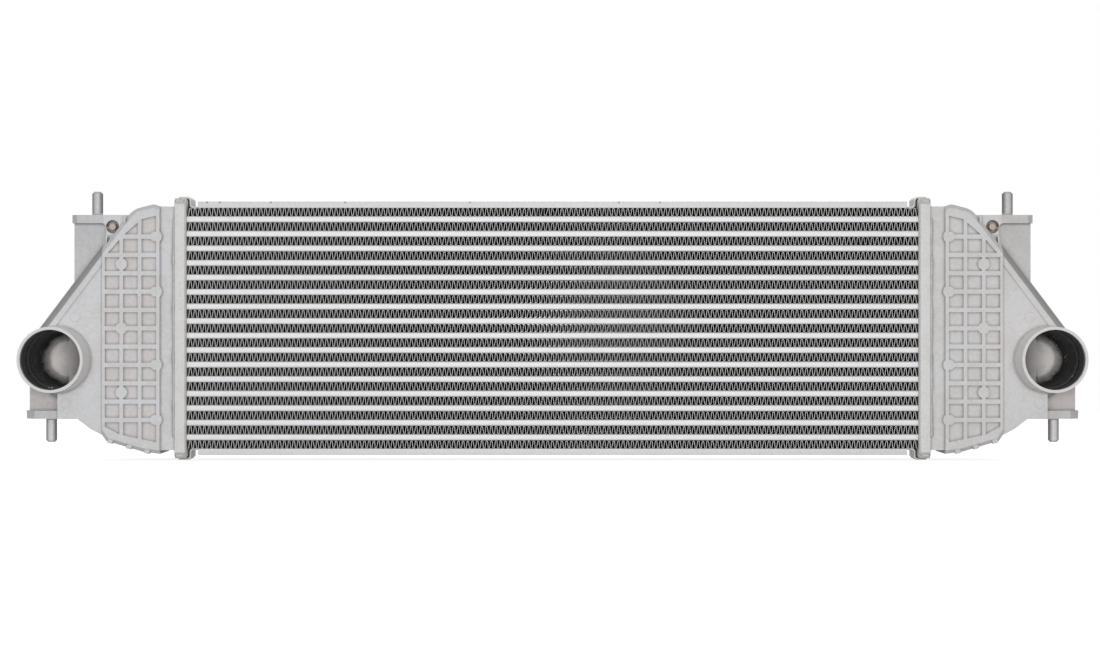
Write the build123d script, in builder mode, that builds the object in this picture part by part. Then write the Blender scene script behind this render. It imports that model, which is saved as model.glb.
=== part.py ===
from build123d import *
import os
from math import asin, atan2, cos, hypot, sin

# Charge-air intercooler: a brazed core of flat tubes and corrugated fins between two header trays,
# with a cast aluminium end tank welded to each header. Millimetres, +Z up. -Y is the front, the side
# that the hose spigots point to. The origin lies on the floor under the middle of the whole part.

# ---- driving dimensions: core ----
core_length = 608.0  # between the two headers
core_depth = 50.0  # front to back, the width of a tube
tube_count = 16
tube_height = 5.4
tube_wall = 0.5
tube_bevel = 0.7  # slope of the tube's nose
tube_reach = 1.5  # how far a tube ends past its header's sheet
tube_end_room = 0.6  # round the tube ends in the tank
fin_height = 6.68
fin_gauge = 0.4
fin_end_gap = 1.0  # from the last fold to the header
fin_folds = 10  # whole waves in one fin strip
turbulator_gauge = 0.4
turbulator_folds = 4
turbulator_end_gap = 4.0

# ---- driving dimensions: headers, side plates and their straps ----
header_sheet = 2.5
header_rim_width = 9.9  # along X, with the sheet
header_rim_wall = 2.0
header_overhang = 8.2  # past the tube and fin stack, above and below
header_corner = 5.0
header_bevel = 1.6
header_margin = 4.0  # past the tubes, in front and behind
side_plate_gauge = 1.5
side_plate_height = 5.3
side_plate_end_gap = 9.3  # from the channel's end to the header
strap_width = 30.0
strap_lip = 8.0  # how far the strap's lip reaches over the header
strap_offset = 0.9  # from the header's sheet to the strap's upright leg
strap_bend = 1.6

# ---- driving dimensions: end tanks ----
tank_wall = 3.8
neck_length = 11.9
neck_rise = 1.2  # of the neck past the stack, above and below
weld_width = 1.9
weld_end_depth = 1.2
weld_end_gap = 18.0  # of the fillet weld short of the header's ends
panel_width = 47.7  # ribbed panel, along X
panel_raise = 4.0  # of the ribbed panel over the neck
panel_bevel = 3.0
crest_rise = 1.9  # of the tank's crest over its neck
crest_run = 5.0  # of the crest past the neck
crest_round = 6.0
crest_width = 22.0  # from the neck to where the crest turns down into the shoulder
crest_fall = 2.5  # of that turn under the neck's top
shoulder_round = 16.0
base_drop = 3.1  # of the tank's underside under its neck
base_run = 14.3  # of the underside, from the neck to its turn
base_turn = 1.24  # of that turn under the neck
cell_width = 12.0
cell_height = 11.5
cell_pitch = 15.2
cell_depth = 2.2
cell_columns = 3
cell_rows = 10  # whole ones, with a cut-off one over and under them
inner_rim = 2.9  # from the panel's edge at the neck to the cells
outer_rim = 2.4  # from the panel's edge at the duct
crest_rim = 7.9
crest_rim_fall = 2.9  # of the cells' upper edge over the first column
shoulder_rim = 9.6
cell_bow_run = 31.0  # from the neck to where the cells' upper edge steepens
cell_bow_drop = 25.0  # of that turn under the neck's top
base_rim = 6.7
heel_rim = 7.6
heel_rim_turn = 0.95  # of the cells' lower edge where it turns under
shoulder_drop = 32.0  # from the neck's top to the panel's outer corner
flank_drop = 26.2  # from the neck's top to where the duct's flank leaves the panel
heel_drop = 12.2  # from the neck's underside up to where the duct meets the panel
heel_slant = 4.5  # from there down to where the panel turns under
pad_radius = 4.8
edge_pad_radius = 4.1
edge_bulge_radius = 5.6
edge_pad_set_in = 3.7  # of an edge pad's centre from the panel's edge
duct_step = 2.5  # of the rib along the duct's flank behind the panel
duct_rib_height = 0.8
duct_rib_width = 4.5
duct_end_radius = 28.3  # round the spigot's axis
duct_bevel = 6.0
duct_back_bevel = 9.0
duct_mouth_top = 34.0  # of the duct's roof over the spigot's axis, where it opens into the elbow
duct_mouth_run = 12.0  # of the duct's air space inside the chamber
port_reach = 37.5  # from the panel's edge out to the spigot's axis
port_drop = 25.8  # of the spigot's axis under the core's middle
spigot_radius = 27.1
spigot_bore_radius = 24.7
spigot_length = 35.0
spigot_shoulder = 1.1  # turned round the spigot's root, level with the duct's face
spigot_bore_depth = 32.0
elbow_radius = 23.3
elbow_back_round = 17.0
elbow_facets = 3  # cones that round the elbow's closed end

# ---- driving dimensions: brackets and locating pins ----
bracket_gauge = 6.8
bracket_front = 21.0  # in front of the tank's middle
bracket_back = 13.0
bracket_web_gauge = 5.0
bracket_web_place = 1.5  # of a web's back face in front of the tank's middle
bracket_round = 4.6
bracket_rib_set_in = 2.0  # of the upper recess's edge from the panel's edge
pin_radius = 4.5
pin_length = 20.0
pin_chamfer = 1.8
top_bracket_height = 94.4  # of its upper face over the core's middle
top_bracket_reach = 27.0  # past the panel's edge
top_bracket_chamfer = 4.7
top_pin_reach = 7.9
lower_bracket_drop = 75.4  # of its lower face under the core's middle
lower_bracket_reach = 28.2  # past the spigot's axis
lower_web_set_in = 1.3  # of the web's edge from the bracket's end
lower_bracket_chamfer = 8.0
lower_pin_reach = 9.0
web_gap_foot = 14.9  # from the lower bracket's underside up to the gap in its web
web_gap_run = 14.5
web_gap_rise = 11.0
heel_run = 20.8  # from the panel's edge to where the lower bracket starts
heel_bow = 1.2
boss_set_in = 7.2  # of the post's axis from the panel's edge
boss_drop = 9.8  # of the post's axis under the top bracket's upper face
boss_radius = 2.7
boss_pocket_radius = 5.4
boss_pocket_depth = 9.0

# ---- derived places: x from the middle, heights from the core's middle, depths from its mid-plane ----
tube_pitch = tube_height + fin_height
stack_height = tube_count * tube_pitch + fin_height
header_inner = core_length / 2
header_outer = header_inner + header_rim_width
header_height = stack_height + 2 * header_overhang
header_depth = core_depth + 2 * header_margin
weld_half = header_height / 2 - weld_end_gap
neck_half = stack_height / 2 + neck_rise
neck_front = header_depth / 2 - header_rim_wall
neck_end = header_outer + neck_length
chamber_half = neck_half - tank_wall
panel_front = neck_front + panel_raise
panel_end = neck_end + panel_width
duct_front = panel_front - duct_step
duct_face = duct_front - duct_rib_height
panel_mid_x = neck_end + inner_rim + cell_width / 2 + cell_pitch
cell_rib = cell_pitch - cell_height
edge_pads = [(neck_end + edge_pad_set_in, row * cell_pitch) for row in (-5, -2, 2, 5)]
middle_pads = [(panel_mid_x + cell_pitch / 2, row * cell_pitch) for row in (-3.5, 0, 3.5)]
tank_start = header_inner + header_sheet
duct_root = panel_end - panel_bevel
air_root = panel_end - duct_mouth_run
panel_corner = neck_half - shoulder_drop
duct_top = neck_half - flank_drop
duct_foot = neck_half - heel_drop
elbow_end = duct_face - tank_wall
port_x = panel_end + port_reach
spigot_front = duct_front + spigot_length
top_bracket_end = panel_end + top_bracket_reach
bracket_rib_x = panel_end - bracket_rib_set_in
top_pin_x = panel_end + top_pin_reach
lower_bracket_end = port_x + lower_bracket_reach
lower_pin_x = port_x + lower_pin_reach
pin_y = (bracket_back - bracket_front) / 2
middle_z = header_height / 2 + side_plate_gauge
middle_y = (spigot_front - panel_front) / 2


def facing(reach, x=0, height=0):
    """A plane that faces the front, this far in front of the core's middle, beside it and over it."""
    return Plane(origin=(x, middle_y - reach, middle_z + height), x_dir=(1, 0, 0), z_dir=(0, -1, 0))


def level(height):
    """A level plane, this far over the core's middle."""
    return Plane(origin=(0, middle_y, middle_z + height))


def across(x, height=0):
    """A plane square to the tubes."""
    return Plane(origin=(x, middle_y, middle_z + height), x_dir=(0, 1, 0), z_dir=(1, 0, 0))


def zigzag(length, height, gauge, folds):
    """The outline of a sheet folded to and fro: straight legs of one gauge between two levels."""
    leg = length / (2 * folds)
    drop = gauge * hypot(leg, height) / leg
    steps = range(2 * folds + 1)
    upper = [(i * leg - length / 2, height / 2 if i % 2 else drop - height / 2) for i in steps]
    lower = [(i * leg - length / 2, height / 2 - drop if i % 2 else -height / 2) for i in steps]
    return upper + lower[::-1]


def save(piece, label):
    piece.label = label
    export_step(piece, f"parts/{label}.step")


def save_pair(piece, name):
    """The right-hand piece and its mirror image, which is the left-hand one."""
    save(piece, f"right_{name}")
    with BuildPart() as twin:
        mirror(piece, about=Plane.YZ)
    save(twin.part, f"left_{name}")


os.makedirs("parts", exist_ok=True)

# ---- tubes: flat, hollow, brazed into a slot of each header; a folded sheet inside stirs the air ----
tube_heights = [((tube_count - 1) / 2 - number) * tube_pitch for number in range(tube_count)]
tube_length = core_length + 2 * (header_sheet + tube_reach)
stirrer_width = core_depth - 2 * (tube_wall + tube_bevel)
stirrer_height = tube_height - 2 * tube_wall
stirrer_wave = zigzag(stirrer_width, stirrer_height, turbulator_gauge, turbulator_folds)
for number, height in enumerate(tube_heights, 1):
    with BuildPart() as tube:
        with BuildSketch(across(0, height)):
            Rectangle(core_depth, tube_height)
            chamfer(vertices(), tube_bevel)
            offset(amount=-tube_wall, mode=Mode.SUBTRACT)
        extrude(amount=tube_length / 2, both=True)
    save(tube.part, f"tube_{number:02d}")

    with BuildPart() as turbulator:
        with BuildSketch(across(0, height)):
            with BuildLine():
                Polyline(*stirrer_wave, close=True)
            make_face()
        extrude(amount=core_length / 2 - turbulator_end_gap, both=True)
    save(turbulator.part, f"turbulator_{number:02d}")

# ---- fins: corrugated strips brazed between the tubes and under the side plates ----
fin_wave = zigzag(core_length - 2 * fin_end_gap, fin_height, fin_gauge, fin_folds)
for number in range(tube_count + 1):
    height = (tube_count / 2 - number) * tube_pitch
    with BuildPart() as fin:
        with BuildSketch(facing(0, 0, height)):
            with BuildLine():
                Polyline(*fin_wave, close=True)
            make_face()
        extrude(amount=core_depth / 2, both=True)
    save(fin.part, f"fin_{number + 1:02d}")

# ---- headers: a tray with a slot for every tube and a rim that holds the tank's foot ----
with BuildPart() as header:
    with BuildSketch(across(header_inner)):
        Rectangle(header_depth, header_height)
        chamfer(vertices(), header_corner)
    extrude(amount=header_rim_width)
    chamfer(faces().sort_by(Axis.X)[0].edges(), header_bevel)
    with BuildSketch(across(header_inner + header_sheet)):
        Rectangle(header_depth - 2 * header_rim_wall, header_height - 2 * header_rim_wall)
    extrude(amount=header_rim_width, mode=Mode.SUBTRACT)
    with BuildSketch(across(header_inner)):
        with Locations(*[(0, height) for height in tube_heights]):
            Rectangle(core_depth, tube_height)
        chamfer(vertices(), tube_bevel)
    extrude(amount=header_sheet, mode=Mode.SUBTRACT)
save_pair(header.part, "header")

# ---- weld beads: a fillet along the rim's front and back edges, and a flush run over each end ----
with BuildPart() as weld_bead:
    with BuildSketch(level(0)):
        with BuildLine():
            Polyline(
                (header_outer, -header_depth / 2),
                (header_outer, -neck_front),
                (header_outer + weld_width, -neck_front),
                close=True,
            )
        make_face()
        mirror(about=Plane.XZ)
    extrude(amount=weld_half, both=True)
    # the groove left over the tank's foot at each end of the rim
    with BuildSketch(across(header_outer - weld_end_depth)):
        for side in (1, -1):
            with Locations((0, side * (neck_half + header_height / 2 - header_rim_wall) / 2)):
                Rectangle(2 * neck_front, header_height / 2 - header_rim_wall - neck_half)
    extrude(amount=weld_end_depth)
save_pair(weld_bead.part, "weld_bead")

# ---- side plates: a folded channel over the outermost fin, with a strap bent over each header ----
channel_half = header_inner - side_plate_end_gap
strap_x = header_inner - strap_offset - side_plate_gauge / 2
strap_top = header_height / 2 + side_plate_gauge / 2
strap_floor = stack_height / 2 + side_plate_gauge / 2
with BuildPart() as top_side_plate:
    with BuildSketch(across(0, stack_height / 2)) as channel_profile:
        with Locations((0, side_plate_height / 2)):
            Rectangle(core_depth, side_plate_height)
        with Locations((0, (side_plate_height + side_plate_gauge) / 2)):
            Rectangle(
                core_depth - 2 * side_plate_gauge,
                side_plate_height - side_plate_gauge,
                mode=Mode.SUBTRACT,
            )
    extrude(amount=channel_half, both=True)
    with BuildSketch(facing(0)) as right_strap:
        with BuildLine():
            Polyline(
                (channel_half - side_plate_gauge, strap_floor),
                (strap_x - strap_bend, strap_floor),
                (strap_x, strap_floor + strap_bend),
                (strap_x, strap_top - strap_bend),
                (strap_x + strap_bend, strap_top),
                (header_inner + strap_lip, strap_top),
            )
        trace(line_width=side_plate_gauge)
        mirror(about=Plane.YZ)
    extrude(amount=strap_width / 2, both=True)
save(top_side_plate.part, "top_side_plate")

with BuildPart() as bottom_side_plate:
    mirror(top_side_plate.part, about=Plane.XY.offset(middle_z))
save(bottom_side_plate.part, "bottom_side_plate")

# ---- end tank: what the air fills, cut out of the casting at the end ----
turn_centre = Vector(elbow_end - elbow_back_round, elbow_radius - elbow_back_round)
turn_start = Vector(0, elbow_back_round)
turn_angles = [-90 * step / elbow_facets for step in range(elbow_facets + 1)]
elbow_turn = [turn_centre + turn_start.rotate(Axis.Z, angle) for angle in turn_angles]
with BuildPart() as air_space:
    # the collecting chamber, open to the header
    with BuildSketch(facing(0)):
        with BuildLine():
            Polyline(
                (tank_start, -chamber_half),
                (tank_start, chamber_half),
                (neck_end + crest_run, chamber_half),
                (panel_end - tank_wall, panel_corner - tank_wall),
                (panel_end - tank_wall, tank_wall - duct_foot),
                (neck_end + crest_run, -chamber_half),
                close=True,
            )
        make_face()
    extrude(amount=neck_front - tank_wall, both=True)
    # the duct narrows towards the elbow
    with BuildSketch(facing(0)):
        with BuildLine():
            Polyline(
                (air_root, panel_corner),
                (port_x, duct_mouth_top - port_drop),
                (port_x, -elbow_radius - port_drop),
                (air_root, 2 * tank_wall - duct_foot),
                close=True,
            )
        make_face()
    extrude(amount=elbow_end, both=True)
    # the spigot's bore and the elbow's rounded end, turned about the spigot's axis
    with BuildSketch(across(port_x, -port_drop)):
        with BuildLine():
            Polyline(
                (-spigot_front, 0),
                (-spigot_front, spigot_bore_radius),
                (spigot_bore_depth - spigot_front, spigot_bore_radius),
                (spigot_bore_depth - spigot_front, elbow_radius),
                *elbow_turn,
                (elbow_end, 0),
                close=True,
            )
        make_face()
    revolve(axis=Axis((port_x, middle_y, middle_z - port_drop), (0, 1, 0)))
    # room round the tube ends
    with BuildSketch(across(tank_start)):
        Rectangle(core_depth + 2 * tube_end_room, stack_height)
    extrude(amount=tube_reach + tube_end_room)

# ---- end tank: the outer form of each zone of the casting ----
flank_run = port_x - duct_root
flank_rise = duct_top + port_drop
flank_slope = atan2(flank_rise, flank_run) - asin(duct_end_radius / hypot(flank_run, flank_rise))
flank_along = Vector(cos(flank_slope), -sin(flank_slope)) * flank_rise
flank_inward = Vector(-sin(flank_slope), -cos(flank_slope))
flank_start = Vector(duct_root, duct_top) + flank_inward * duct_bevel
with BuildPart() as duct:
    with BuildSketch(facing(duct_face)):
        with BuildLine():
            CenterArc((port_x, -port_drop), duct_end_radius, 0, 360)
            Line((duct_root, duct_top), (duct_root, -duct_foot))
        make_hull()
    extrude(amount=-2 * duct_face)
    for face, bevel in ((0, duct_bevel), (-1, duct_back_bevel)):
        flanks = edges().filter_by_position(Axis.X, panel_end, port_x + 2 * duct_end_radius)
        chamfer(flanks.group_by(Axis.Y)[face], bevel)
    # a low rib along the upper flank
    with BuildSketch(facing(duct_front)):
        with BuildLine():
            Polyline(
                flank_start,
                flank_start + flank_along,
                flank_start + flank_along + flank_inward * duct_rib_width,
                flank_start + flank_inward * duct_rib_width,
                close=True,
            )
        make_face()
    extrude(amount=-duct_step)

with BuildPart() as panel:
    with BuildSketch(facing(panel_front)):
        with BuildLine():
            Polyline(
                (neck_end, -neck_half - base_drop),
                (neck_end, neck_half),
                (neck_end + crest_run, neck_half + crest_rise),
                (neck_end + crest_width, neck_half - crest_fall),
                (panel_end, panel_corner - panel_bevel),
                (panel_end, -duct_foot),
                (panel_end - panel_bevel, -duct_foot - heel_slant),
                (neck_end + base_run, -neck_half - base_turn),
                close=True,
            )
        make_face()
        fillet(vertices().group_by(Axis.Y)[-1], crest_round)
        shoulder = vertices().sort_by_distance((neck_end + crest_width, neck_half - crest_fall))[0]
        fillet(shoulder, shoulder_round)
    extrude(amount=-2 * panel_front)
    rims = edges().group_by(Axis.Y)[0] + edges().group_by(Axis.Y)[-1]
    chamfer(rims.filter_by(Axis.Z, reverse=True), panel_bevel)

with BuildPart() as top_bracket:
    with BuildSketch(facing(bracket_front)):
        with BuildLine():
            Polyline(
                (neck_end + crest_width, top_bracket_height),
                (top_bracket_end, top_bracket_height),
                (top_bracket_end, top_bracket_height - bracket_gauge),
                (bracket_rib_x, top_bracket_height - bracket_gauge),
                (bracket_rib_x, panel_corner - bracket_gauge),
                (neck_end + crest_width, panel_corner - bracket_gauge),
                close=True,
            )
        make_face()
        rib_corner = vertices().sort_by_distance((bracket_rib_x, top_bracket_height - bracket_gauge))[0]
        fillet(rib_corner, bracket_round)
    extrude(amount=-(bracket_front + bracket_back))
    chamfer(edges().filter_by(Axis.Z).group_by(Axis.X)[-1], top_bracket_chamfer)
    # the web behind the bracket runs down into the duct's flank
    with BuildSketch(facing(bracket_web_place, bracket_rib_x - bracket_web_gauge)):
        Rectangle(
            top_bracket_end - bracket_rib_x + bracket_web_gauge,
            top_bracket_height - bracket_gauge / 2,
            align=Align.MIN,
        )
    extrude(amount=bracket_web_gauge)
    # a small post in a round pocket, beside the recess
    with BuildSketch(facing(bracket_front, panel_end - boss_set_in, top_bracket_height - boss_drop)):
        Circle(boss_pocket_radius)
        Circle(boss_radius, mode=Mode.SUBTRACT)
    extrude(amount=-boss_pocket_depth, mode=Mode.SUBTRACT)
    with BuildSketch(level(top_bracket_height)):
        with Locations((top_pin_x, pin_y)):
            Circle(pin_radius)
    extrude(amount=pin_length)
    chamfer(edges().group_by(Axis.Z)[-1], pin_chamfer)

with BuildPart() as lower_bracket:
    with BuildSketch(facing(bracket_front)):
        with Locations((panel_end + heel_run, -lower_bracket_drop)):
            Rectangle(lower_bracket_end - panel_end - heel_run, bracket_gauge, align=Align.MIN)
    extrude(amount=-(bracket_front + bracket_back))
    chamfer(edges().filter_by(Axis.Z).group_by(Axis.X)[-1], lower_bracket_chamfer)
    # the face under the duct runs down to the bracket and turns back along the recess
    with BuildSketch(facing(duct_face)):
        with BuildLine():
            Polyline(
                (duct_root, -duct_foot),
                (panel_end, -duct_foot),
                (panel_end + heel_run / 2, -(duct_foot + lower_bracket_drop) / 2 - heel_bow),
                (panel_end + heel_run, -lower_bracket_drop),
                (port_x, -lower_bracket_drop),
                (port_x, -port_drop),
                (duct_root, -port_drop),
                close=True,
            )
        make_face()
    extrude(amount=-bracket_web_gauge)
    with BuildSketch(facing(duct_face, port_x, -lower_bracket_drop)):
        Rectangle(bracket_web_gauge, lower_bracket_drop - port_drop, align=(Align.MAX, Align.MIN))
    extrude(amount=-(duct_face + bracket_back))
    # the web under the elbow leaves a slanting gap beside the duct, closed at the bracket's back
    with BuildSketch(facing(bracket_web_place)):
        with BuildLine():
            Polyline(
                (port_x, -lower_bracket_drop),
                (port_x, web_gap_foot - lower_bracket_drop),
                (port_x + web_gap_run, web_gap_foot + web_gap_rise - lower_bracket_drop),
                (port_x + web_gap_run, -port_drop),
                (lower_bracket_end - lower_web_set_in, -port_drop),
                (lower_bracket_end - lower_web_set_in, -lower_bracket_drop),
                close=True,
            )
        make_face()
    extrude(amount=bracket_web_gauge)
    with BuildSketch(facing(-bracket_back, port_x, -lower_bracket_drop)):
        Rectangle(web_gap_run, lower_bracket_drop - port_drop, align=Align.MIN)
    extrude(amount=bracket_web_gauge)
    with BuildSketch(level(-lower_bracket_drop)):
        with Locations((lower_pin_x, pin_y)):
            Circle(pin_radius)
    extrude(amount=-pin_length)
    chamfer(edges().group_by(Axis.Z)[0], pin_chamfer)


# ---- end tanks: the zones joined, ribbed, fitted with a spigot and hollowed ----
def cell_field(columns, width):
    """Rows of cells cut off along the panel's outline, drawn in a plane that faces the front."""
    with BuildSketch() as field:
        with BuildLine():
            Polyline(
                (neck_end + inner_rim, neck_half - crest_rim),
                (neck_end + inner_rim + cell_width, neck_half - crest_rim - crest_rim_fall),
                (neck_end + cell_bow_run, neck_half - cell_bow_drop),
                (panel_end - outer_rim, panel_corner - shoulder_rim),
                (panel_end - outer_rim, heel_rim - duct_foot),
                (panel_end - outer_rim - cell_width, heel_rim_turn - duct_foot),
                (neck_end + inner_rim, base_rim - neck_half),
                close=True,
            )
        make_face()
        end_row_pitch = (cell_rows + 1) * cell_pitch + cell_height - cell_rib
        with BuildSketch(mode=Mode.INTERSECT):
            with Locations((panel_mid_x, 0)):
                with GridLocations(cell_pitch, cell_pitch, columns, cell_rows):
                    Rectangle(width, cell_height)
                with GridLocations(cell_pitch, end_row_pitch, columns, 2):
                    Rectangle(width, 2 * cell_height - cell_rib)
    return field.sketch


# a waffle of cells with round pads in the front face, plain cross ribs in the back one
with BuildPart() as cell_pockets:
    with BuildSketch(facing(panel_front)):
        add(cell_field(cell_columns, cell_width))
        with Locations(*edge_pads):
            Circle(edge_pad_radius, mode=Mode.SUBTRACT)
        with Locations(*middle_pads):
            Circle(pad_radius, mode=Mode.SUBTRACT)
    extrude(amount=-cell_depth)
    with BuildSketch(facing(-panel_front)):
        add(cell_field(1, (cell_columns - 1) * cell_pitch + cell_width))
    extrude(amount=cell_depth)

with BuildPart() as right_tank:
    add(duct.part)
    add(panel.part)
    add(top_bracket.part)
    add(lower_bracket.part)
    # the foot fills the header's rim, the neck stands on it
    with BuildSketch(facing(0, tank_start)):
        Rectangle(
            header_outer - tank_start - weld_end_depth,
            header_height - 2 * header_rim_wall,
            align=(Align.MIN, Align.CENTER),
        )
        Rectangle(neck_end + cell_rib - tank_start, 2 * neck_half, align=(Align.MIN, Align.CENTER))
    extrude(amount=neck_front, both=True)
    # the round pads on the panel's inner edge bulge over the neck
    with BuildSketch(facing(panel_front)):
        with Locations(*edge_pads):
            Circle(edge_bulge_radius)
    extrude(amount=-2 * panel_raise)
    # the hose spigot, turned down to a shoulder level with the duct's face
    with BuildSketch(facing(duct_front, port_x, -port_drop)):
        Circle(spigot_radius + spigot_shoulder)
    extrude(amount=-duct_bevel)
    with BuildSketch(facing(spigot_front, port_x, -port_drop)):
        Circle(spigot_radius)
    extrude(amount=-spigot_length - duct_step)
    add(air_space.part, mode=Mode.SUBTRACT)
    add(cell_pockets.part, mode=Mode.SUBTRACT)
save_pair(right_tank.part, "tank")
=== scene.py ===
import bpy
import bmesh
import math
import random
from mathutils import Matrix, Vector


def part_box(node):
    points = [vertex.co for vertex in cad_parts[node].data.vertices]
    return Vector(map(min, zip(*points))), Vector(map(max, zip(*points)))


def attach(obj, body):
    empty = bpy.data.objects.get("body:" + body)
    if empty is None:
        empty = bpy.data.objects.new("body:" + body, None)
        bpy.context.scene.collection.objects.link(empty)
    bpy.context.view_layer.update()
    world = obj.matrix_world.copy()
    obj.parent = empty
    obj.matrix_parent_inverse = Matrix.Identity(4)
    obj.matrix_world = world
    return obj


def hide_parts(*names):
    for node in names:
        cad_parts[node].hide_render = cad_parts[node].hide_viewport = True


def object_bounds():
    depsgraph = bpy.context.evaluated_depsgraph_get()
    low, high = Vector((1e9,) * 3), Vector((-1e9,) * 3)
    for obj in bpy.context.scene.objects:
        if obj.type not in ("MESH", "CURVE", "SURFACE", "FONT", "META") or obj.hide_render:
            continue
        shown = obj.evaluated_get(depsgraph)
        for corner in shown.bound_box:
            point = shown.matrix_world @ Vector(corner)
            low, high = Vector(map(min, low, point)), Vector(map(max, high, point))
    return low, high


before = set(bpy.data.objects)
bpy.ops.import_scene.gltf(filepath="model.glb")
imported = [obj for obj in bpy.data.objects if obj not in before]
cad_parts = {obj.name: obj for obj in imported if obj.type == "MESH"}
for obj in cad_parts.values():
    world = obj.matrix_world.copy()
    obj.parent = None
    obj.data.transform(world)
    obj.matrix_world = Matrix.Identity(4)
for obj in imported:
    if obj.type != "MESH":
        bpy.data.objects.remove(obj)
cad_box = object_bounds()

# ---- Studio ----
# A sheet of pale paper under the part, against a plain white backdrop. One wide soft lamp stands
# behind the lens, a weak one overhead, and one at the far side lights the part's back.
floor_size = 3.2
floor_drop = 0.0002
floor_back = 1.2
paper_tone = (0.5, 0.5, 0.5)
paper_roughness = 0.9
paper_glow = 0.8
fill_tone = (0.97, 0.98, 1.0)
fill_strength = 0.27
white = (1.0, 1.0, 1.0)
look_at = Vector((0, 0, 0.11))
lamps = (  # name, place, width and height, watts
    ("front_lamp", (0.0, -2.8, 0.22), (1.7, 0.42), 33.4),
    ("top_lamp", (-0.4, -0.9, 1.9), (1.6, 0.9), 1.5),
    ("back_lamp", (0.0, 2.2, 1.6), (1.7, 0.6), 16.0),
)
lens_mm, sensor_mm = 90.7, 36.0
lens_place = (-0.0021, -2.312, 0.1124)


def feed(tree, socket, value):
    """Gives a socket its value: a number, a colour of three numbers, or another node's output."""
    if isinstance(value, bpy.types.NodeSocket):
        tree.links.new(value, socket)
    elif isinstance(value, tuple):
        socket.default_value = (*value, 1.0)
    else:
        socket.default_value = value


def set_up(tree, node, **inputs):
    """Feeds a node's sockets by name, with _ for a space."""
    for name, value in inputs.items():
        feed(tree, node.inputs[name.replace("_", " ")], value)
    return node


def add_node(tree, kind, **inputs):
    return set_up(tree, tree.nodes.new(kind), **inputs)


def work_out(tree, operation, first, second=0.0):
    """One sum on two values, each a number or another node's output."""
    node = tree.nodes.new("ShaderNodeMath")
    node.operation = operation
    for socket, value in zip(node.inputs, (first, second)):
        feed(tree, socket, value)
    return node.outputs[0]


def new_material(name):
    material = bpy.data.materials.new(name)
    material.use_nodes = True
    tree = material.node_tree
    return material, tree, tree.nodes["Principled BSDF"]


def add_piece(name, form, material, slot=None):
    """Turns a finished form into a piece of the part, or of the studio if it has no slot."""
    mesh = bpy.data.meshes.new(name)
    form.to_mesh(mesh)
    form.free()
    mesh.materials.append(material)
    piece = bpy.data.objects.new(name, mesh)
    bpy.context.scene.collection.objects.link(piece)
    if slot:
        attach(piece, "root")
    return piece


def white_rays(tree):
    """1 where the camera, a reflection or a view through glass meets the backdrop, 0 elsewhere."""
    paths = add_node(tree, "ShaderNodeLightPath").outputs
    direct = work_out(tree, "MAXIMUM", paths["Is Camera Ray"], paths["Is Glossy Ray"])
    return work_out(tree, "MAXIMUM", direct, paths["Is Transmission Ray"])


paper, tree, shader = new_material("floor_paper")
glow = work_out(tree, "MULTIPLY", white_rays(tree), paper_glow)
set_up(
    tree, shader, Base_Color=paper_tone, Roughness=paper_roughness, Emission_Color=white,
    Emission_Strength=glow)
floor_form = bmesh.new()
bmesh.ops.create_grid(floor_form, x_segments=1, y_segments=1, size=floor_size / 2)
floor_place = (0, floor_back - floor_size / 2, cad_box[0][2] - floor_drop)
bmesh.ops.translate(floor_form, verts=floor_form.verts, vec=floor_place)
add_piece("studio_floor", floor_form, paper)

world = bpy.data.worlds.new("studio")
bpy.context.scene.world = world
world.use_nodes = True
tree = world.node_tree
tree.nodes.clear()
fill = add_node(tree, "ShaderNodeBackground", Color=fill_tone, Strength=fill_strength)
backdrop = add_node(tree, "ShaderNodeBackground", Color=white)
mix = add_node(tree, "ShaderNodeMixShader", Fac=white_rays(tree))
feed(tree, mix.inputs[1], fill.outputs[0])
feed(tree, mix.inputs[2], backdrop.outputs[0])
add_node(tree, "ShaderNodeOutputWorld", Surface=mix.outputs[0])

for name, place, size, watts in lamps:
    light = bpy.data.lights.new(name, "AREA")
    light.shape = "RECTANGLE"
    light.size, light.size_y = size
    light.energy = watts
    lamp = bpy.data.objects.new(name, light)
    lamp.location = place
    lamp.rotation_euler = (look_at - Vector(place)).to_track_quat("-Z", "Y").to_euler()
    bpy.context.scene.collection.objects.link(lamp)

camera = bpy.data.cameras.new("camera")
camera.sensor_width = sensor_mm
camera.lens = lens_mm
stand = bpy.data.objects.new("camera", camera)
stand.location = lens_place
stand.rotation_euler = (math.radians(90), 0, 0)
bpy.context.scene.collection.objects.link(stand)
bpy.context.scene.camera = stand
bpy.context.scene.view_settings.view_transform = "Standard"

# ---- End tanks ----
# Sand-grey aluminium castings, shot-blasted, one welded to each header. The blast leaves soft
# blots of a warmer and a cooler grey, and painted shade darkens the corners of the ribbing.
blot_edges = (0.42, 0.58)
fleck_share = 0.35
flecks_per_blot = 8
corner_shade_reach = 0.0026
gloss_spread = 0.08
grain_strength = 0.6
ease_segments = 2
ease_angle = math.radians(24)
merge_gap = 0.00001
flat_face_weight = 80
tank_ease = 0.0006


def times(tree, *parts):
    """All the parts multiplied together."""
    product = parts[0]
    for part in parts[1:]:
        product = work_out(tree, "MULTIPLY", product, part)
    return product


def gap(tree, value, mark):
    """How far a value lies from a mark, either way."""
    return work_out(tree, "ABSOLUTE", work_out(tree, "SUBTRACT", value, mark))


def between(tree, value, low, high):
    """1 where a value lies between two others, 0 elsewhere."""
    above = work_out(tree, "GREATER_THAN", value, low)
    return times(tree, above, work_out(tree, "LESS_THAN", value, high))


def fade(tree, value, start, end, low=0.0, high=1.0):
    """Goes evenly from low at the start to high at the end, and stays level past both."""
    node = add_node(
        tree, "ShaderNodeMapRange", Value=value, From_Min=start, From_Max=end, To_Min=low, To_Max=high)
    return node.outputs["Result"]


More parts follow.
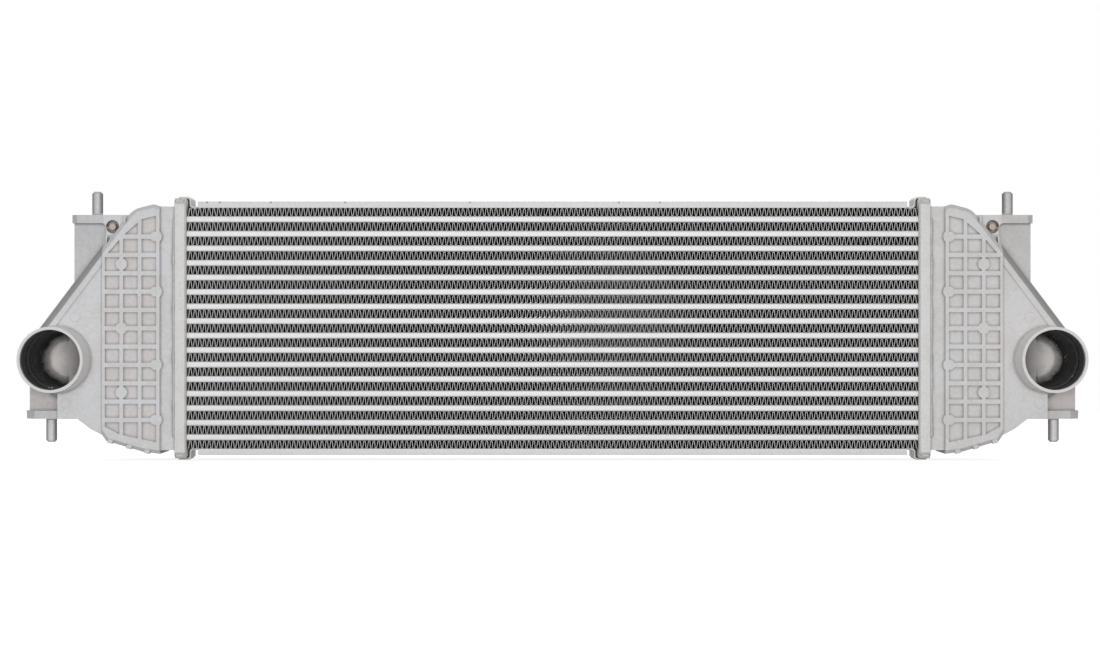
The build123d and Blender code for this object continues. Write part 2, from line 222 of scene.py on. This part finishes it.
def ramp(tree, value, stops):
    """A colour that follows a value. Each stop is a place and its tone, a grey or three numbers."""
    node = add_node(tree, "ShaderNodeValToRGB", Fac=value)
    marks = node.color_ramp.elements
    marks.remove(marks[1])
    for number, (spot, tone) in enumerate(stops):
        mark = marks.new(spot) if number else marks[0]
        mark.position = spot
        mark.color = (*tone, 1.0) if isinstance(tone, tuple) else (tone, tone, tone, 1.0)
    return node.outputs["Color"]


def blend(tree, kind, factor, first, second):
    """Mixes two colours by a factor, each a value or another node's output."""
    node = tree.nodes.new("ShaderNodeMix")
    node.data_type = "RGBA"
    node.blend_type = kind
    return set_up(tree, node, Factor=factor, A=first, B=second).outputs["Result"]


def noise(tree, place, scale, detail, breakup):
    """Soft clouds of values about a half, broken up finer by more detail."""
    node = add_node(
        tree, "ShaderNodeTexNoise", Vector=place, Scale=scale, Detail=detail, Roughness=breakup)
    return node.outputs["Fac"]


def metal(name, tones, metallic, roughness, mottle, grain, grain_depth, corner_shade):
    """Aluminium in two close tones that lie over each other in soft blots, with a fine grain, and with
    painted shade that darkens its corners."""
    material, tree, shader = new_material(name)
    place = add_node(tree, "ShaderNodeTexCoord").outputs["Object"]
    blots = noise(tree, place, scale=mottle, detail=5.0, breakup=0.62)
    flecks = noise(tree, place, scale=flecks_per_blot * mottle, detail=2.0, breakup=0.6)
    patches = add_node(tree, "ShaderNodeMix", Factor=fleck_share, A=blots, B=flecks).outputs["Result"]
    # Painted shade: the colour is darkened where ambient occlusion finds corners.
    corners = add_node(tree, "ShaderNodeAmbientOcclusion", Distance=corner_shade_reach).outputs["AO"]
    painted_corner_shade = fade(tree, corners, 0.0, 1.0, low=1.0 - corner_shade)
    grit = noise(tree, place, scale=grain, detail=3.0, breakup=0.7)
    bump = add_node(tree, "ShaderNodeBump", Strength=grain_strength, Distance=grain_depth, Height=grit)
    set_up(
        tree, shader, Metallic=metallic, Normal=bump.outputs["Normal"],
        Base_Color=blend(tree, "MULTIPLY", 1.0, ramp(tree, patches, zip(blot_edges, tones)), painted_corner_shade),
        Roughness=fade(tree, blots, 0.0, 1.0, roughness - gloss_spread, roughness + gloss_spread))
    return material


def finish_node(name, material, ease=0.0):
    """Gives a CAD piece its finish, and rounds its edges by this much where it's shown."""
    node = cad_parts[name]
    for slot in node.material_slots:
        slot.material = material
    if ease:
        merge = node.modifiers.new("merge", "WELD")
        merge.merge_threshold = merge_gap
        soften = node.modifiers.new("soften", "BEVEL")
        soften.width = ease
        soften.segments = ease_segments
        soften.limit_method = "ANGLE"
        soften.angle_limit = ease_angle
        soften.use_clamp_overlap = True
        shade = node.modifiers.new("shade", "WEIGHTED_NORMAL")
        shade.weight = flat_face_weight
        for face in node.data.polygons:
            face.use_smooth = True


cast = metal(
    "cast_aluminium", tones=((0.685, 0.675, 0.67), (0.75, 0.755, 0.775)), metallic=0.1, roughness=0.6,
    mottle=42.0, grain=700.0, grain_depth=0.0002, corner_shade=0.75)
casting = cast.node_tree
cast_shader = casting.nodes["Principled BSDF"]
tone = cast_shader.inputs["Base Color"].links[0].from_socket
place = add_node(casting, "ShaderNodeTexCoord").outputs["Object"]
across, depth, height = add_node(casting, "ShaderNodeSeparateXYZ", Vector=place).outputs
along = work_out(casting, "ABSOLUTE", across)


def distance_from(x, z, squash=1.0):
    """How far a spot of either tank lies from a front-to-back axis, its height counted squash times."""
    run = work_out(casting, "SUBTRACT", along, x)
    rise = times(casting, work_out(casting, "SUBTRACT", height, z), squash)
    squares = work_out(casting, "ADD", times(casting, run, run), times(casting, rise, rise))
    return work_out(casting, "SQRT", squares)


# The right tank is a little warmer, and so are the floors of the front cells, most of all on the left.
right_tint = (1.0, 0.985, 0.965)
cell_tint = (1.0, 0.955, 0.93)
right_cell_loss = 0.75
cell_floor_y = -0.01255
cell_floor_slack = 0.0004
cells_end_x = 0.3734
on_right = work_out(casting, "GREATER_THAN", across, 0.0)
on_floor = work_out(casting, "LESS_THAN", gap(casting, depth, cell_floor_y), cell_floor_slack)
in_panel = work_out(casting, "LESS_THAN", along, cells_end_x)
cell_share = work_out(casting, "SUBTRACT", 1.0, times(casting, on_right, right_cell_loss))
tone = blend(casting, "MULTIPLY", on_right, tone, right_tint)
tone = blend(casting, "MULTIPLY", times(casting, on_floor, in_panel, cell_share), tone, cell_tint)

# Painted shade darkens the skin behind the duct's face, most of all down the duct's flank.
flank_start_x = 0.3737
flank_front_y, flank_back_y = -0.0112, -0.0052
flank_shade_tones = ((0.0, 1.0), (0.04, 0.62), (0.8, 0.46), (0.9, 0.88))
past_panel = work_out(casting, "GREATER_THAN", along, flank_start_x)
painted_flank_shade = ramp(casting, fade(casting, depth, flank_front_y, flank_back_y), flank_shade_tones)
tone = blend(casting, "MULTIPLY", past_panel, tone, painted_flank_shade)

# Inside the ports the colour is painted light and shade: painted shade, near black, on the bore and
# the outer side of the elbow, thin over its middle, with light specks in it.
port_x, port_z = 0.411, 0.08388
bore_radius = 0.0252
mouth_y, mouth_fade = -0.0466, 0.008
elbow_round_y, elbow_back_y = 0.030, 0.042
shade_centre_x, shade_squash = 0.4005, 1.35
shade_clear, shade_full = 0.0225, 0.0315
shade_wander, warp_scale = 0.008, 95.0
elbow_light_inner_x, elbow_light_outer_x = 0.399, 0.419
lit_elbow_tone, elbow_light_inner_share = (0.94, 0.895, 0.87), 0.34
shade_front_y, shade_back_y = -0.041, -0.012
port_shade_tones = (
    (0.0, (0.012, 0.012, 0.013)), (0.35, (0.075, 0.08, 0.095)),
    (0.62, (0.045, 0.05, 0.062)), (1.0, (0.012, 0.012, 0.014)))
speck_scale, speck_size, speck_share = 480.0, 0.22, 0.56
speck_tone = (0.75, 0.73, 0.68)
past_round = work_out(casting, "MAXIMUM", work_out(casting, "SUBTRACT", depth, elbow_round_y), 0.0)
off_bore = work_out(casting, "ADD", distance_from(port_x, port_z), past_round)
in_port = times(
    casting, work_out(casting, "LESS_THAN", off_bore, bore_radius),
    work_out(casting, "LESS_THAN", depth, elbow_back_y),
    fade(casting, depth, mouth_y, mouth_y + mouth_fade))
warp = noise(casting, place, scale=warp_scale, detail=4.0, breakup=0.65)
wander = times(casting, work_out(casting, "SUBTRACT", warp, 0.5), shade_wander)
off_shade_centre = work_out(casting, "ADD", distance_from(shade_centre_x, port_z, shade_squash), wander)
port_shade = times(casting, in_port, fade(casting, off_shade_centre, shade_clear, shade_full))
elbow_light_along = work_out(casting, "ADD", along, wander)
painted_elbow_light = fade(casting, elbow_light_along, elbow_light_inner_x, elbow_light_outer_x, low=elbow_light_inner_share)
specks = add_node(casting, "ShaderNodeTexVoronoi", Vector=place, Scale=speck_scale).outputs["Distance"]
specked = times(
    casting, port_shade, work_out(casting, "LESS_THAN", specks, speck_size),
    work_out(casting, "GREATER_THAN", warp, speck_share))
# Painted light: the port's inside is painted pale, lighter outwards, and shows where the shade is thin.
tone = blend(casting, "MIX", in_port, tone, blend(casting, "MULTIPLY", 1.0, painted_elbow_light, lit_elbow_tone))
# Painted shade: near black at the port's mouth, lighter further in.
painted_port_shade = ramp(casting, fade(casting, depth, shade_front_y, shade_back_y), port_shade_tones)
tone = blend(casting, "MIX", port_shade, tone, painted_port_shade)
tone = blend(casting, "MIX", specked, tone, speck_tone)

# The spigot's wall and its lip are turned bright.
wall_inner, wall_outer = 0.0258, 0.0292
wall_front_y, wall_back_y = -0.0468, -0.0127
wall_tone = (0.95, 0.92, 0.90)
lip_tone = (0.80, 0.785, 0.77)
on_wall = times(
    casting, between(casting, distance_from(port_x, port_z), wall_inner, wall_outer),
    between(casting, depth, wall_front_y, wall_back_y))
on_lip = work_out(casting, "LESS_THAN", depth, wall_front_y)
tone = blend(casting, "MIX", on_wall, tone, wall_tone)
tone = blend(casting, "MIX", on_lip, tone, lip_tone)

# The post's round pocket is painted darker and warmer, the lower web a little darker and warmer, and
# painted shade darkens the slit behind the web.
pocket_x, pocket_z, pocket_radius = 0.3663, 0.19428, 0.0056
pocket_ends_y = (-0.0060, 0.0105)
pocket_tint = (0.78, 0.68, 0.62)
web_inner_x, web_top_z = 0.4, 0.062
web_ends_y = (0.0096, 0.0099)
web_tint = (0.97, 0.92, 0.90)
slit_ends_x, slit_ends_y, slit_ends_z = (web_inner_x, 0.4372), (0.0152, 0.0288), (0.0402, web_top_z)
slit_shade_tint = (0.42, 0.39, 0.38)
in_pocket = times(
    casting, work_out(casting, "LESS_THAN", distance_from(pocket_x, pocket_z), pocket_radius),
    between(casting, depth, *pocket_ends_y))
on_web = times(
    casting, work_out(casting, "GREATER_THAN", along, web_inner_x),
    work_out(casting, "LESS_THAN", height, web_top_z), between(casting, depth, *web_ends_y))
in_shaded_slit = times(
    casting, between(casting, along, *slit_ends_x), between(casting, height, *slit_ends_z),
    between(casting, depth, *slit_ends_y))
tone = blend(casting, "MULTIPLY", in_pocket, tone, pocket_tint)
tone = blend(casting, "MULTIPLY", on_web, tone, web_tint)
tone = blend(casting, "MULTIPLY", in_shaded_slit, tone, slit_shade_tint)

# Painted highlight down the middle of each pin and painted shade towards its sides, the lower pins
# painted lighter than the upper.
upper_pin_x, lower_pin_x = 0.3814, 0.42
pins_split_z = 0.1
brackets_middle_z, brackets_reach = 0.1195, 0.0866
pin_half = 0.0048
highlight_edge, side_shade_edge = 0.0014, 0.0042
pin_highlight, pin_side_shade = 1.1, 0.3
lower_pin_light, upper_pin_dimming = 1.16, 0.2
on_upper = work_out(casting, "GREATER_THAN", height, pins_split_z)
pin_x = work_out(casting, "SUBTRACT", lower_pin_x, times(casting, on_upper, lower_pin_x - upper_pin_x))
off_axis = gap(casting, along, pin_x)
off_brackets = gap(casting, height, brackets_middle_z)
past_bracket = work_out(casting, "GREATER_THAN", off_brackets, brackets_reach)
on_pin = times(casting, past_bracket, work_out(casting, "LESS_THAN", off_axis, pin_half))
painted_pin_light = times(
    casting, fade(casting, off_axis, highlight_edge, side_shade_edge, pin_highlight, pin_side_shade),
    work_out(casting, "SUBTRACT", lower_pin_light, times(casting, on_upper, upper_pin_dimming)))
set_up(casting, cast_shader, Base_Color=blend(casting, "MULTIPLY", on_pin, tone, painted_pin_light))

for side in ("left", "right"):
    finish_node(f"{side}_tank", cast, tank_ease)

# Marks of the mould on each tank: two ejector discs on the duct, the gate's stub at the crest, two
# thin ribs under the post's pocket and a stub under each column of cells.
duct_face_y = -0.01145
panel_face_y = -0.01475
disc_radius, disc_height, disc_sides = 0.0041, 0.0006, 32
disc_places = ((0.3963, 0.1190), (0.4042, 0.0474))
gate_place = (0.3550, panel_face_y + 0.0016, 0.1996)
gate_half = (0.0013, 0.0014, 0.0040)
gate_sides, gate_rings = 16, 10
thin_rib_y, thin_rib_width, thin_rib_depth = -0.0076, 0.0014, 0.0062
thin_ribs = ((0.3668, 0.1842, 24, 0.0075), (0.3706, 0.1822, 4, 0.0080))  # x, z, degrees of tilt, length
stub_y, stub_tilt = panel_face_y + 0.0034, 15
stub_size = (0.0046, 0.0058, 0.0044)
stub_places = ((0.3669, 0.0165), (0.3511, 0.0118), (0.3362, 0.0080))
mark_round = 0.0003
mark_corner = 0.6  # radians


def tilted_block(form, place, degrees, size):
    """A block at a place on the right tank, its top leaned towards the core by these degrees."""
    tilt = Matrix.Translation(place) @ Matrix.Rotation(math.radians(-degrees), 4, "Y")
    bmesh.ops.create_cube(form, size=1.0, matrix=tilt @ Matrix.Diagonal((*size, 1)))


def mirror_to_left(form):
    bmesh.ops.scale(form, verts=form.verts, vec=(-1, 1, 1))
    bmesh.ops.reverse_faces(form, faces=form.faces)


for side in ("left", "right"):
    form = bmesh.new()
    for x, z in disc_places:
        disc = Matrix.Translation((x, duct_face_y, z)) @ Matrix.Rotation(math.radians(90), 4, "X")
        bmesh.ops.create_cone(
            form, cap_ends=True, segments=disc_sides, radius1=disc_radius, radius2=disc_radius,
            depth=disc_height, matrix=disc)
    gate = Matrix.Translation(gate_place) @ Matrix.Diagonal((*gate_half, 1))
    bmesh.ops.create_uvsphere(
        form, u_segments=gate_sides, v_segments=gate_rings, radius=1.0, matrix=gate)
    for x, z, degrees, length in thin_ribs:
        tilted_block(form, (x, thin_rib_y, z), degrees, (thin_rib_width, thin_rib_depth, length))
    for x, z in stub_places:
        tilted_block(form, (x, stub_y, z), stub_tilt, stub_size)
    sharp = [edge for edge in form.edges if edge.calc_face_angle(0) > mark_corner]
    bmesh.ops.bevel(
        form, geom=sharp, offset=mark_round, segments=2, profile=0.5, affect="EDGES", material=-1)
    if side == "left":
        mirror_to_left(form)
    for face in form.faces:
        face.smooth = True
    marks = add_piece(f"{side}_mould_marks", form, cast, "cast_tank")
    marks.modifiers.new("shade", "WEIGHTED_NORMAL")

# ---- Headers ----
# Pressed trays of brazing sheet that hold the tube ends. The furnace leaves them satin, slightly
# warm and a little uneven.
header_ease = 0.0006
header_metal = metal(
    "header_sheet", tones=((0.67, 0.655, 0.64), (0.745, 0.74, 0.725)), metallic=0.1, roughness=0.5,
    mottle=60.0, grain=500.0, grain_depth=0.0001, corner_shade=0.5)
for side in ("left", "right"):
    finish_node(f"{side}_header", header_metal, header_ease)

# ---- Weld beads ----
# The tank is welded to the header by hand in aluminium wire: a rippled fillet down the front and the
# back of the rim, and a flat run over each end.
rim_x = 0.3139
neck_front_y = -0.01075
middle = Vector((0, 0.01625, 0.10968))
bead_width = 0.0023
bead_root = 0.0019
bead_turns = (22, 45, 68)
bead_half = 0.0902
bead_step = 0.00043
ripple_pitch = 0.0017
ripple_drift = 210  # radians a metre, and so are the two swells
short_swell, long_swell = 310, 147
leanest, proud = 0.78, 0.05
ripple_share, short_share, long_share = 0.10, 0.09, 0.12
whole_turn = 6.28
end_run_up = 0.10368
end_run_size = (0.0012, 0.054, 0.005)
largest_smooth = 0.00001  # square metres of a face
weld_metal = metal(
    "weld_metal", tones=((0.52, 0.52, 0.51), (0.66, 0.66, 0.65)), metallic=0.15, roughness=0.42,
    mottle=120.0, grain=900.0, grain_depth=0.0001, corner_shade=0.5)


def of_kind(geometry, kind):
    """The vertices, edges or faces out of what an operator returns."""
    return [item for item in geometry if isinstance(item, kind)]


chance = random.Random(11)
for side in ("left", "right"):
    form = bmesh.new()
    bulge = chance.uniform(0, whole_turn)
    arc = [Vector((0, 0, 0)), Vector((0, -bead_root, 0))]
    for turn in bead_turns:
        arc += [Vector((math.sin(math.radians(turn)), -math.cos(math.radians(turn)), 0)) * bead_width]
    arc += [Vector((bead_width, 0, 0))]
    foot = Vector((rim_x, neck_front_y, middle.z - bead_half))
    corners = [form.verts.new(foot + point) for point in arc]
    edges = [form.edges.new(pair) for pair in zip(corners, corners[1:] + corners[:1])]
    for _ in range(int(2 * bead_half / bead_step)):
        grown = bmesh.ops.extrude_edge_only(form, edges=edges)["geom"]
        edges = of_kind(grown, bmesh.types.BMEdge)
        edges = [edge for edge in edges if all(vert in grown for vert in edge.verts)]
        bmesh.ops.translate(form, vec=(0, 0, bead_step), verts=of_kind(grown, bmesh.types.BMVert))
    bmesh.ops.holes_fill(form, edges=form.edges, sides=len(arc))
    for vert in form.verts:
        rise = vert.co.z - middle.z
        ripple = abs(math.sin(math.pi * rise / ripple_pitch + math.sin(rise * ripple_drift)))
        swell = leanest + ripple_share * ripple
        swell += short_share * math.sin(rise * short_swell + bulge)
        swell += long_share * math.sin(rise * long_swell + 2 * bulge)
        vert.co.x = rim_x + (vert.co.x - rim_x) * swell
        vert.co.y = neck_front_y + (vert.co.y - neck_front_y) * (swell + proud)
    twin = bmesh.ops.duplicate(form, geom=form.verts[:] + form.edges[:] + form.faces[:])["geom"]
    bmesh.ops.scale(
        form, verts=of_kind(twin, bmesh.types.BMVert), vec=(1, -1, 1), space=Matrix.Translation(-middle))
    bmesh.ops.reverse_faces(form, faces=of_kind(twin, bmesh.types.BMFace))
    for end in (-1, 1):
        run = Matrix.Translation(middle + Vector((rim_x - end_run_size[0] / 2, 0, end * end_run_up)))
        bmesh.ops.create_cube(form, size=1.0, matrix=run @ Matrix.Diagonal((*end_run_size, 1)))
    bmesh.ops.recalc_face_normals(form, faces=form.faces)
    if side == "left":
        mirror_to_left(form)
    for face in form.faces:
        face.smooth = len(face.verts) == 4 and face.calc_area() < largest_smooth
    bead = add_piece(f"{side}_weld", form, weld_metal, "weld")
    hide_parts(f"{side}_weld_bead")

# ---- Side plates ----
# Folded strips of aluminium sheet that close the core over the outermost fins. Each is brazed on and
# hooked over the headers by a bent strap. The top one has nicks along its front edge, each a mark of
# painted shade.
nicks = (-0.2872, -0.2764, -0.2340, -0.1725, -0.0686, 0.0552, 0.0893)  # x of each
nick_half = 0.0009
nick_foot_z = 0.2136
nick_back_y = -0.0060
nick_shade_tint = (0.45, 0.43, 0.42)
plate_ease = 0.0003
plate_metal = metal(
    "side_plate_sheet", tones=((0.64, 0.635, 0.625), (0.70, 0.70, 0.695)), metallic=0.1, roughness=0.45,
    mottle=60.0, grain=500.0, grain_depth=0.0001, corner_shade=0.5)
tree = plate_metal.node_tree
shader = tree.nodes["Principled BSDF"]
plain = shader.inputs["Base Color"].links[0].from_socket
place = add_node(tree, "ShaderNodeTexCoord").outputs["Object"]
across, depth, height = add_node(tree, "ShaderNodeSeparateXYZ", Vector=place).outputs
# Painted shade: each nick is a dark mark painted on the top plate's front edge.
nicked = 0.0
for x in nicks:
    at_nick = work_out(tree, "LESS_THAN", gap(tree, across, x), nick_half)
    nicked = work_out(tree, "MAXIMUM", nicked, at_nick)
at_edge = times(
    tree, work_out(tree, "GREATER_THAN", height, nick_foot_z),
    work_out(tree, "LESS_THAN", depth, nick_back_y))
set_up(tree, shader, Base_Color=blend(tree, "MULTIPLY", times(tree, nicked, at_edge), plain, nick_shade_tint))
for level in ("top", "bottom"):
    finish_node(f"{level}_side_plate", plate_metal, plate_ease)

# ---- Tubes ----
# Flat drawn aluminium tubes, brazed into the headers' slots. They are the brightest part of the core,
# with a soft rounded nose.
tube_ease = 0.0005
tube_metal = metal(
    "tube_sheet", tones=((0.745, 0.745, 0.76), (0.805, 0.805, 0.82)), metallic=0.1, roughness=0.42,
    mottle=18.0, grain=400.0, grain_depth=0.00005, corner_shade=0.25)
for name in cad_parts:
    if name.startswith("tube_"):
        finish_node(name, tube_metal, tube_ease)

# ---- Turbulators ----
# Folded aluminium sheets that stir the air inside the tubes. Their crests are brazed to the tube's
# walls, where only the tanks' air reaches them.
stirrer_metal = metal(
    "turbulator_sheet", tones=((0.5, 0.5, 0.5), (0.6, 0.6, 0.6)), metallic=0.5, roughness=0.4,
    mottle=60.0, grain=400.0, grain_depth=0.00005, corner_shade=0.4)
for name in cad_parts:
    if name.startswith("turbulator_"):
        finish_node(name, stirrer_metal)

# ---- Fin strips ----
# Thin aluminium foil folded into a close wave, its crests brazed to the tube above and the tube
# below. The sheared ends of the folds keep the foil's bright tone, and painted shade darkens it further
# in.
fin_names = sorted(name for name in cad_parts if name.startswith("fin_"))
front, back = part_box(fin_names[0])[0].y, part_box(fin_names[0])[1].y
fin_waves = 155
foil = 0.00045
crest_half = 0.0006
crest_rise = 0.00045
stations = (  # depth from the front, and the fold's sway to the side there
    (0.0, 0.0), (0.003, 0.0), (0.014, 0.0003), (0.025, 0.0020), (0.036, 0.0003), (0.047, 0.0),
    (back - front, 0.0))
lean_waves = (60, 190)  # radians a metre
lean_depth, fold_scatter = 0.00009, 0.00003
straight_ends = 2  # waves at each end that don't lean
knocked = ((1, -0.004, 0.010), (3, 0.259, 0.008), (3, 0.288, 0.004))  # fin row, x, half-width
crushed_end, crushed_share = 0.006, 0.8
bent_aside, bent_back = 0.0006, 0.0002
bend_growth = 2  # a fold is fully bent from half-way in
shade_growth_depth = 0.006
fin_shade_tones = ((0.4, 0.015), (0.8, 0.14), (0.96, 0.30))
fin_shade_hue = (1.0, 0.985, 0.97)
deepest_tone, sheared_tone = 0.003, (0.95, 0.94, 0.92)
core_light_inner, core_light_outer = 0.0085, 0.011
core_light_tone = (0.5, 0.53, 0.55)

# Painted shade darkens the foil inwards from each face, nearly to black a few millimetres in, and
# painted light lies pale blue-grey over the middle of the core's depth.
fin_metal, tree, shader = new_material("fin_foil")
place = add_node(tree, "ShaderNodeTexCoord").outputs["Object"]
_, depth, _ = add_node(tree, "ShaderNodeSeparateXYZ", Vector=place).outputs
near_face = work_out(
    tree, "MAXIMUM", fade(tree, depth, front, front + shade_growth_depth, low=1.0, high=0.0),
    fade(tree, depth, back, back - shade_growth_depth, low=1.0, high=0.0))
stops = [(spot, tuple(share * tone for share in fin_shade_hue)) for spot, tone in fin_shade_tones]
painted_fin_shade = ramp(tree, near_face, [(0.0, deepest_tone), *stops, (1.0, sheared_tone)])
off_middle = gap(tree, depth, (front + back) / 2)
# Painted light: a pale blue-grey lightens the foil around the middle of the core's depth.
painted_core_light = fade(tree, off_middle, core_light_inner, core_light_outer, low=1.0, high=0.0)
set_up(
    tree, shader, Metallic=0.0, Roughness=0.7, Specular_IOR_Level=0.05,
    Base_Color=blend(tree, "LIGHTEN", painted_core_light, painted_fin_shade, core_light_tone))

chance = random.Random(7)
for row, name in enumerate(fin_names, 1):
    low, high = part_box(name)
    pitch = (high.x - low.x) / fin_waves
    floor_z, roof_z = low.z + foil / 2, high.z - foil / 2
    wave = [
        (0, floor_z), (crest_half, floor_z + crest_rise),
        (pitch / 2 - crest_half, roof_z - crest_rise), (pitch / 2, roof_z),
        (pitch / 2 + crest_half, roof_z - crest_rise), (pitch - crest_half, floor_z + crest_rise)]
    phases = [chance.uniform(0, whole_turn) for _ in lean_waves]
    form = bmesh.new()
    front_line = []
    for number in range(fin_waves):
        for step, z in wave:
            x = low.x + number * pitch + step
            lean = sum(math.sin(x * turn + phase) for turn, phase in zip(lean_waves, phases))
            if straight_ends <= number < fin_waves - straight_ends:
                over = 1 if z > (low.z + high.z) / 2 else -1
                x += lean_depth * lean * over + chance.gauss(0, fold_scatter)
            front_line.append(form.verts.new((x, low.y, z)))
    front_line.append(form.verts.new((high.x, low.y, floor_z)))
    edges = [form.edges.new(pair) for pair in zip(front_line, front_line[1:])]
    for (here, sway), (there, next_sway) in zip(stations, stations[1:]):
        grown = bmesh.ops.extrude_edge_only(form, edges=edges)["geom"]
        edges = of_kind(grown, bmesh.types.BMEdge)
        bmesh.ops.translate(
            form, vec=(next_sway - sway, there - here, 0), verts=of_kind(grown, bmesh.types.BMVert))
    for vert in front_line[len(wave):-len(wave)]:
        near = [1 - abs(vert.co.x - x) / half for line, x, half in knocked if line == row]
        near += [crushed_share - min(vert.co.x - low.x, high.x - vert.co.x) / crushed_end]
        if max(near) > 0:
            vert.co.x += chance.uniform(-bent_aside, bent_aside) * min(1, bend_growth * max(near))
            vert.co.y += chance.uniform(0, bent_back)
    for face in form.faces:
        face.smooth = True
    strip = add_piece(f"fin_strip_{row:02d}", form, fin_metal, "fin")
    gauge = strip.modifiers.new("gauge", "SOLIDIFY")
    gauge.thickness = foil
    gauge.offset = 0.0
    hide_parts(name)
